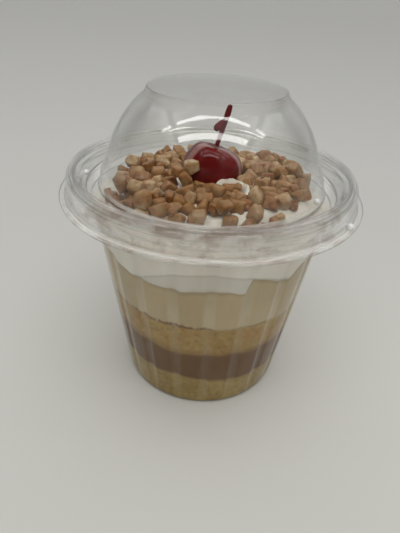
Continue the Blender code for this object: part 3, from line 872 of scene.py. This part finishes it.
def between_stops(stops, share):
    """Smooth value between (share, value) stops."""
    for (low, first), (high, second) in zip(stops, stops[1:]):
        if share <= high:
            return first + (second - first) * smooth_step(low, high, share)
    return stops[-1][1]


def bare_cream(x, y):
    """Where the cream shows between the nuts: two patches at the front and the swirl."""
    if hypot(x - 2.0, y + 38.0) < 4.6 or hypot(x - 18.0, y + 25.5) < 3.6:
        return True
    return swirl_distance(x, y) < 2.2 and y > -20.5


def random_spot(chance, inner, outer):
    """A spot between two circles, how far out it is and how far the heap reaches there."""
    distance = sqrt(chance.uniform(inner ** 2, outer ** 2))
    turn = chance.uniform(0.0, tau)
    x = distance * cos(turn)
    y = distance * sin(turn)
    return x, y, distance, between_stops(HEAP_EDGE, degrees(atan2(y, x)))


def apart(nut, x, y):
    return hypot(nut[0] - x, nut[1] - y)


def touches_cherry(x, y, height, room):
    return (Vector((x, y, height)) - CHERRY_CENTRE).length < CHERRY_RADIUS + 0.4 + room


def nut_height(x, y, size, tier, placed):
    """Centre height of a nut at rest, or None where it can't lie."""
    height = cream_height(x, y) + 0.36 * size
    if tier == 0:
        crowded = any(apart(nut, x, y) < 0.66 * (size + nut[3]) for nut in placed)
        return None if crowded else height
    under = [nut for nut in placed if apart(nut, x, y) < 0.95 * (size + nut[3])]
    if len(under) < 2:
        return None
    for nut in under:
        flat = apart(nut, x, y)
        reach = 0.80 * (size + nut[3])
        if flat < reach:
            height = max(height, nut[2] + sqrt(reach ** 2 - flat ** 2))
    return height if height < 98.2 else None


def place_nuts():
    """Centres and sizes of the nuts: the largest first, and a second tier on top."""
    chance = random.Random(NUT_SEED)
    placed = []
    for tier, count, inner, inset in ((0, FIRST_TIER, 13.0, 0.0), (1, SECOND_TIER, 15.0, 3.0)):
        for k in range(count):
            size = 3.95 - 0.9 * k / count + chance.uniform(-0.2, 0.2)
            best = None
            for attempt in range(200):
                x, y, distance, edge = random_spot(chance, inner, 42.5)
                if bare_cream(x, y) or distance > edge - inset:
                    continue
                height = nut_height(x, y, size, tier, placed)
                if height is None or touches_cherry(x, y, height, 0.7 * size):
                    continue
                mates = placed[FIRST_TIER * tier:]
                room = min([apart(nut, x, y) for nut in mates] + [9.0])
                if best is None or room > best[0]:
                    best = (room, x, y, height)
            if best is not None:
                placed.append((*best[1:], size))
    return placed + list(LEANING_NUTS)


def nut_corners(chance, size):
    """Corners of one chopped piece: an uneven block."""
    sides = (size * chance.uniform(0.72, 0.92), size * chance.uniform(0.58, 0.74),
             size * chance.uniform(0.46, 0.64))
    sides = [0.6 * side + 0.4 * sum(sides) / 3.0 for side in sides]
    return [Vector([way * side * chance.uniform(0.72, 1.12) for way, side in zip(ways, sides)])
            for ways in product((-1, 1), repeat=3)]


def inside_limits(point):
    """Keeps a point of a nut clear of the lid and of the cherry."""
    flat = Vector((point.x, point.y, 0.0))
    rise = point.z - DOME_CENTRE
    reach = sqrt((DOME_RADIUS - PLASTIC) ** 2 - rise ** 2) - 0.7
    if point.z < 98.0:
        reach = 43.6 - 0.25 * max(0.0, point.z - 96.0)
    if flat.length > reach:
        flat *= reach / flat.length
    kept = Vector((flat.x, flat.y, point.z))
    away = kept - CHERRY_CENTRE
    least = CHERRY_RADIUS + 0.35
    if away.length < least:
        kept = CHERRY_CENTRE + away.normalized() * least
    return kept


def rounded_block(points, radius, segments):
    """A block through the points with its edges rounded, as a new bmesh in units."""
    bm = bmesh.new()
    for point in points:
        bm.verts.new(point)
    hull = bmesh.ops.convex_hull(bm, input=bm.verts)
    spare = [item for item in hull["geom_interior"] if isinstance(item, bmesh.types.BMVert)]
    bmesh.ops.delete(bm, geom=spare, context="VERTS")
    bmesh.ops.dissolve_limit(bm, angle_limit=radians(24.0), verts=bm.verts, edges=bm.edges)
    bmesh.ops.bevel(bm, geom=list(bm.edges), offset=radius, offset_type="OFFSET",
                    segments=segments, profile=0.5, affect="EDGES", clamp_overlap=True)
    return bm


def build_nuts(material):
    """Every nut of the heap as a rounded block, all in one mesh."""
    chance = random.Random(NUT_SEED + 1)
    looks = random.Random(NUT_LOOKS_SEED)
    points = []
    faces = []
    tints = []
    glosses = []
    for x, y, z, size in place_nuts():
        axis = Vector([chance.uniform(-1, 1) for k in range(3)]).normalized()
        tilted = axis.to_track_quat("Z", "Y").to_matrix()
        spin = chance.uniform(0.0, tau)
        corners = []
        for point in nut_corners(chance, size):
            point.rotate(tilted)
            flat_x = point.x * cos(spin) - point.y * sin(spin)
            flat_y = point.x * sin(spin) + point.y * cos(spin)
            corners.append(inside_limits(Vector((flat_x + x, flat_y + y, point.z + z))))
        middle = sum(corners, Vector()) / 8.0
        corners = [middle + (corner - middle) * 1.12 for corner in corners]
        bm = rounded_block(corners, 0.35 * size, 4)
        first = len(points)
        bm.verts.index_update()
        for vert in bm.verts:
            lump = 0.60 * noise.noise(vert.co * 0.42) + 0.30 * noise.noise(vert.co * 1.1)
            points.append(tuple(inside_limits(vert.co + vert.normal * lump)))
        faces += [tuple(first + vert.index for vert in face.verts) for face in bm.faces]
        bm.free()
        tints += [looks.random()] * (len(points) - first)
        glosses += [looks.random()] * (len(points) - first)
    return add_piece("chopped_nuts", points, faces, material, tint=tints, gloss=glosses)


def place_crumbs(placed, chance):
    """Smaller pieces in the gaps between the nuts."""
    crumbs = []
    for attempt in range(5000):
        if len(crumbs) == CRUMBS:
            break
        x, y, distance, edge = random_spot(chance, 13.0, 43.0)
        size = chance.uniform(1.7, 2.9)
        near = [nut for nut in placed if apart(nut, x, y) < 0.9 * nut[3]]
        if bare_cream(x, y) or distance > edge + 2.0 or len(near) > 1:
            continue
        if any(apart(crumb, x, y) < 0.6 * (size + crumb[3]) for crumb in crumbs):
            continue
        height = max([cream_height(x, y) + 0.3 * size] + [nut[2] + 0.5 * nut[3] for nut in near])
        if not touches_cherry(x, y, height, size):
            crumbs.append((x, y, height, size))
    return crumbs


def crumb_shapes(chance):
    """Small rounded blocks one unit in half length, for the crumbs."""
    shapes = bpy.data.collections.new("crumb shapes")
    bpy.context.scene.collection.children.link(shapes)
    for index in range(CRUMB_SHAPES):
        bm = rounded_block(nut_corners(chance, 1.05), 0.24, 2)
        bmesh.ops.scale(bm, vec=(UNIT, UNIT, UNIT), verts=bm.verts)
        mesh = bpy.data.meshes.new("crumb shape")
        bm.to_mesh(mesh)
        bm.free()
        shapes.objects.link(bpy.data.objects.new("crumb_shape_%02d" % index, mesh))
    return shapes


def scattered_tree():
    """Node tree: sets one shape of a collection on each point, turned and sized."""
    tree, given = new_tree("scattered pieces", "Pieces", {
        "Points": "Geometry", "Shapes": "Collection", "Size": "Float", "Roughness": "Float",
        "Lump Size": "Float", "Material": "Material"})

    def attribute(name, kind):
        return tree.add("GeometryNodeInputNamedAttribute", {"Name": name},
                        data_type=kind)["Attribute"]

    shapes = tree.add("GeometryNodeCollectionInfo", {
        "Collection": given["Shapes"], "Separate Children": True, "Reset Children": True})
    turn = tree.add("FunctionNodeEulerToRotation", {"Euler": attribute("turn", "FLOAT_VECTOR")})
    placed = tree.add("GeometryNodeInstanceOnPoints", {
        "Points": given["Points"], "Instance": shapes["Instances"], "Pick Instance": True,
        "Instance Index": attribute("shape", "INT"), "Rotation": turn["Rotation"],
        "Scale": attribute("size", "FLOAT") * given["Size"]})
    lumps = tree.add("ShaderNodeTexNoise", {
        "Vector": tree.add("GeometryNodeInputPosition")["Position"],
        "Scale": given["Lump Size"] ** -1.0, "Detail": 2.0})["Fac"]
    push = tree.add("ShaderNodeVectorMath", {
        "Vector": tree.add("GeometryNodeInputNormal")["Normal"],
        "Scale": (lumps - 0.5) * given["Roughness"]}, operation="SCALE")
    made = placed["Instances"]
    for kind, sockets in (("GeometryNodeRealizeInstances", {}),
                          ("GeometryNodeSetPosition", {"Offset": push["Vector"]}),
                          ("GeometryNodeSetMaterial", {"Material": given["Material"]})):
        made = tree.add(kind, {"Geometry": made, **sockets})["Geometry"]
    tree.add("NodeGroupOutput", {"Pieces": made})
    return tree


def build_crumbs(material):
    chance = random.Random(NUT_SEED + 2)
    crumbs = place_crumbs(place_nuts(), chance)
    shapes = crumb_shapes(chance)
    worker = add_piece("nut_crumbs", [crumb[:3] for crumb in crumbs], [],
                       size=[crumb[3] for crumb in crumbs],
                       tint=[chance.random() for crumb in crumbs],
                       gloss=[chance.random() for crumb in crumbs])
    carry(worker.data, "shape", [chance.randrange(CRUMB_SHAPES) for crumb in crumbs], "INT")
    carry(worker.data, "turn", [chance.uniform(0.0, tau) for k in range(3 * len(crumbs))],
          "FLOAT_VECTOR")
    result = run_tree(worker, scattered_tree(), {
        "Shapes": shapes, "Size": 1.0, "Roughness": 0.5 * UNIT, "Lump Size": 2.0 * UNIT,
        "Material": material})
    for vert in result.vertices:
        vert.co = inside_limits(vert.co / UNIT) * UNIT
    result.shade_smooth()
    for shape in list(shapes.objects):
        bpy.data.objects.remove(shape, do_unlink=True)
    bpy.data.collections.remove(shapes)
    return worker


def nut_finish():
    """Toasted nuts: tan to brown, paler or darker from one to the next, some of them wet."""
    finish = Finish("chopped nuts")
    tint = finish.carried("tint")
    gloss = finish.carried("gloss")
    mottle = finish.grain(2.6, 4.0, 0.65, 1.0, 6.0)
    fibres = finish.grain(0.5, 3.0, 0.6, 1.0, 2.0)
    toasted = 0.12 + tint * 0.75 + (mottle - 0.5) * 2.1
    finish.colour = finish.add("ShaderNodeValToRGB", {"Fac": toasted}, stops=(
        (0.0, (0.19, 0.072, 0.017)), (0.22, (0.28, 0.130, 0.040)),
        (0.55, (0.345, 0.200, 0.084)), (0.8, (0.42, 0.275, 0.140)),
        (1.0, (0.54, 0.42, 0.26))))["Color"]
    finish.tint((fibres - 0.5).between(0.0, 0.3) * 0.25, (0.34, 0.17, 0.055))
    middle = (finish.along("X") + 3.0).size().below(10.0, 26.0)
    # Darker towards the front middle, more so on the glossier nuts.
    darker_to_front = (finish.along("Y") * -1.0).between(8.0, 22.0) * middle * (0.35 + gloss * 0.45)
    finish.tint(darker_to_front, (0.27, 0.125, 0.028))
    return finish.body(0.22 + gloss * 0.25, finish.bump(fibres * 0.5 + mottle, 0.3, 0.3), 0.4,
                       Subsurface_Weight=0.5, Subsurface_Scale=0.003,
                       Subsurface_Radius=(1.0, 0.45, 0.2))


# ---- cherry

def cherry_spot(turn, angle):
    """A spot of the cherry, turn radians from its top: flatter on top, with a dimple there."""
    flattening = 0.10 if turn < 0.5 * pi else 0.03
    radius = CHERRY_RADIUS * (1.0 - flattening * cos(turn) ** 2)
    lump = 1.0 + 0.008 * cos(2.0 * angle + 0.7) * sin(turn)
    dimple = 2.0 * bell(turn, 0.40)
    lobe = 1.5 * cos(angle - radians(150.0)) * bell(turn - 0.62, 0.34)
    height = radius * cos(turn) - dimple + lobe * min(1.0, turn / 0.2)
    spot = Vector(polar(radius * sin(turn) * lump, angle, height))
    wrinkle = 0.06 * noise.noise(spot * 0.35) * sin(turn)
    return spot * (1.0 + wrinkle / CHERRY_RADIUS)


def build_cherry(material):
    """A ball, a little flattened, with a dimple where the stem enters."""
    lean = Vector((0.08, -0.02, 1.0)).normalized().to_track_quat("Z", "Y")
    steps = 96
    levels = 72
    points = [tuple(lean @ cherry_spot(pi * i / levels, tau * k / steps) + CHERRY_CENTRE)
              for i in range(levels + 1) for k in range(steps)]
    return add_piece("cherry_flesh", points, ring_faces(points, steps), material)


def tube_mesh(stations):
    """Points and faces of a closed tube through (centre, radius) stations."""
    points = []
    last = len(stations) - 1
    for i, (centre, radius) in enumerate(stations):
        along = stations[min(i + 1, last)][0] - stations[max(i - 1, 0)][0]
        side = along.cross(Vector((0.0, 1.0, 0.0))).normalized()
        other = along.cross(side).normalized()
        for k in range(STEM_SIDES):
            turn = tau * k / STEM_SIDES
            points.append(tuple(centre + radius * (side * cos(turn) + other * sin(turn))))
    return points, ring_faces(points, STEM_SIDES, (stations[0][0], stations[last][0]))


def build_stem(material):
    """The stem, thicker at its tip, with the short drop-shaped spur on its left."""
    run = STEM_TIP - STEM_FOOT
    bow = Vector((0.1, 0.0, -0.1))
    radii = ((0.0, 0.90), (0.12, 0.86), (0.4, 0.92), (0.62, 1.04), (0.8, 1.15), (0.94, 1.06),
             (1.0, 0.70))
    stem = [(STEM_FOOT + run * s + bow * 4.0 * s * (1.0 - s), between_stops(radii, s))
            for s in [k / STEM_ROWS for k in range(STEM_ROWS + 1)]]
    root = STEM_FOOT + run * 0.69 + bow * 0.85
    hang = Vector((-4.1, -0.2, -4.7))
    radii = ((-0.06, 0.50), (0.2, 0.85), (0.5, 1.28), (0.74, 1.48), (0.92, 1.15), (1.0, 0.58))
    spur = [(root + hang * s, between_stops(radii, s))
            for s in [-0.06 + 1.06 * k / SPUR_ROWS for k in range(SPUR_ROWS + 1)]]
    points, faces = tube_mesh(stem)
    more, more_faces = tube_mesh(spur)
    faces += [tuple(index + len(points) for index in face) for face in more_faces]
    return add_piece("stem_and_spur", points + more, faces, material, 60)


def cherry_finish():
    """Dark red skin with a painted reflection: a paler band on its front."""
    finish = Finish("cherry skin")
    broad = finish.grain(7.0, 2.0, 0.5, 1.0, 2.0)
    fine = finish.grain(0.9, 3.0, 0.5, 1.0, 5.0)
    finish.tint(broad.between(0.3, 0.7), (0.16, 0.004, 0.003), (0.11, 0.002, 0.0015))
    finish.tint(fine.between(0.55, 0.8) * 0.2, (0.21, 0.010, 0.008))
    # Painted reflection: a pale pink band over the cherry's front shoulder.
    ahead = CHERRY_CENTRE.y - finish.along("Y")
    above = finish.along("Z") - CHERRY_CENTRE.z
    forward = ahead * 0.98 + above * 0.15 + finish.along("X") * 0.13 + (broad - 0.5)
    finish.tint(forward.band(3.2, 4.1, 6.2, 7.3) * above.between(-4.0, 0.5) * 0.85,
                (0.38, 0.21, 0.19))
    return finish.body(0.11, finish.bump(broad, 0.05, 0.6), 0.40)


def stem_finish():
    finish = Finish("dyed stem")
    grain = finish.grain(0.8, 3.0, 0.6, 0.25, 1.0)
    finish.tint(grain.between(0.3, 0.7), (0.18, 0.010, 0.012), (0.11, 0.003, 0.004))
    finish.tint(finish.along("Z").between(119.5, 122.5) * 0.5, (0.10, 0.008, 0.008))
    return finish.body(0.45, finish.bump(grain, 0.25, 0.2), 0.3)


# ---- the pieces

TURNED_WALL = turned_wall_tree()

clear_cup = clear_plastic("clear cup plastic", 0.03, 0.3, 1.0)
clear_lid = clear_plastic("clear lid plastic", 0.012, 1.4, 0.4, True)
yellow_crumb = sponge_finish(
    "yellow sponge", (0.39, 0.28, 0.09), (0.28, 0.18, 0.042), (0.34, 0.20, 0.055),
    (0.50, 0.39, 0.16), (0.14, 0.075, 0.024), "below_high", 1.8)
golden_crumb = sponge_finish(
    "golden sponge", (0.42, 0.29, 0.10), (0.33, 0.20, 0.055), (0.42, 0.20, 0.065),
    (0.54, 0.40, 0.18), (0.16, 0.075, 0.024), "above_low", 4.5)

cup = turn_wall("cup_shell", cup_line(), 360, clear_cup)
lid = turn_wall("lid_shell", lid_line(), 192, clear_lid)
add_knobs(lid)
lower = build_layer("lower_sponge_body", None, sponge_edge, CUP_FLOOR, SPONGE_LEVEL, 8,
                    yellow_crumb)
filling = build_layer("chocolate_body", sponge_edge, chocolate_edge, SPONGE_LEVEL,
                      CHOCOLATE_LEVEL, 8, chocolate_finish())
upper = build_layer("upper_sponge_body", chocolate_edge, upper_sponge_edge, CHOCOLATE_LEVEL,
                    UPPER_SPONGE_LEVEL, 8, golden_crumb)
custard = build_layer("custard_body", upper_sponge_edge, custard_edge, UPPER_SPONGE_LEVEL,
                      CUSTARD_LEVEL, 14, custard_finish())
toasted = nut_finish()

for piece, node, material_slot in (
        (cup, "cup", "clear_cup"), (lid, "lid", "clear_lid"),
        (lower, "lower_sponge", "lower_sponge"), (filling, "chocolate_filling", "chocolate"),
        (upper, "upper_sponge", "upper_sponge"), (custard, "custard", "custard"),
        (build_cream(cream_finish()), "whipped_cream", "cream"),
        (build_nuts(toasted), "whipped_cream", "cream"),
        (build_crumbs(toasted), "whipped_cream", "cream"),
        (build_cherry(cherry_finish()), "cherry", "cherry_skin"),
        (build_stem(stem_finish()), "cherry_stem", "cherry_stem")):
    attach(piece, "root")
    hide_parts(node)


# ---- table, light and camera

def floor_finish():
    """Plain pale paper, with painted light and shade: darker near the cup and a little lighter
    far from it.
    """
    finish = Finish("pale table")
    speck = finish.grain(0.6, 3.0, 0.6)
    # Painted light and shade: the paper grows lighter away from the cup.
    finish.tint(finish.length(finish.place).between(0.10, 0.34), (0.685, 0.684, 0.660),
                (0.622, 0.620, 0.590))
    finish.tint(speck * 0.05, (0.70, 0.69, 0.67))
    return finish.body(0.6, finish.bump(speck, 0.05, 0.1), 0.2)


def build_floor(material):
    bm = bmesh.new()
    bmesh.ops.create_circle(bm, cap_ends=True, segments=96, radius=14.0)
    mesh = bpy.data.meshes.new("table")
    bm.to_mesh(mesh)
    bm.free()
    mesh.materials.append(material)
    return add_object("table", mesh)


def area_light(name, place, size, power, tilt=0.0):
    """A light that faces down or, tilted, towards the back; unseen by the camera itself."""
    light = bpy.data.lights.new(name, "AREA")
    light.shape = "RECTANGLE"
    light.size = size[0]
    light.size_y = size[1]
    light.energy = power
    light.color = (1.0, 0.99, 0.965)
    lamp = add_object(name, light)
    lamp.location = place
    lamp.rotation_euler.x = radians(tilt)
    lamp.visible_camera = False
    return lamp


def set_world():
    """Soft light from the back, the right and above, and a little from low down in front."""
    world = bpy.data.worlds.new("soft room")
    world.use_nodes = True
    world.node_tree.nodes.clear()
    tree = Tree(world.node_tree)
    way = tree.parts(tree.add("ShaderNodeTexCoord")["Generated"])
    across = way["X"]
    back = way["Y"]
    up = way["Z"]
    right = across.between(0.30, 0.80) * up.between(0.15, 0.50)
    window = up.band(0.50, 0.58, 0.72, 0.80) * back.between(0.25, 0.50)
    aside = (across / up).size()
    seam = aside.band(0.66, 0.71, 0.78, 0.84)
    glow = aside.band(0.35, 0.62, 0.88, 1.15)
    above = up.between(0.45, 0.75) * (0.33 + 0.6 * glow) * (1 - seam) * back.between(-0.60, -0.35)
    low = up.below(0.10, 0.30) * back.below(0.45, 0.75)
    strength = 0.03 + back.between(0.45, 0.75) * 0.45 + right * 0.40 + window + above + low * 0.18
    light = tree.add("ShaderNodeBackground", {"Color": (1.0, 0.995, 0.975, 1.0),
                                              "Strength": strength})
    tree.add("ShaderNodeOutputWorld", {"Surface": light["Background"]})
    bpy.context.scene.world = world


def place_camera():
    lens = bpy.data.cameras.new("camera")
    lens.sensor_fit = "AUTO"
    lens.sensor_width = 36.0
    lens.lens = lens.sensor_width * FOCAL_LENGTH / PICTURE_HEIGHT
    lens.clip_start = 0.01
    camera = add_object("camera", lens)
    turn = Matrix.Identity(4)
    for angle, axis in CAMERA_TURNS:
        turn = turn @ Matrix.Rotation(angle, 4, axis)
    camera.matrix_world = Matrix.Translation(CAMERA_PLACE * UNIT) @ turn
    bpy.context.scene.camera = camera


floor = build_floor(floor_finish())
for name, x, y, size, power in (("ceiling strip", -0.008, -0.050, (0.262, 0.013), 0.060),
                                ("front strip", -0.008, -0.131, (0.300, 0.032), 0.150),
                                ("left strip", -0.198, -0.050, (0.06, 0.016), 0.012),
                                ("right strip", 0.182, -0.050, (0.06, 0.016), 0.012)):
    area_light(name, (x, y, STRIP_HEIGHT), size, power)
area_light("soft fill", (0.0, -0.70, 1.30), (1.3, 1.3), 6.2, 28.0).visible_glossy = False
area_light("front fill", (0.0, -0.80, 0.40), (0.9, 0.5), 0.60, 65.0).visible_glossy = False
set_world()
place_camera()
scene = bpy.context.scene
scene.view_settings.view_transform = "Standard"
scene.cycles.max_bounces = 10
scene.cycles.transparent_max_bounces = 24
scene.cycles.use_denoising = True
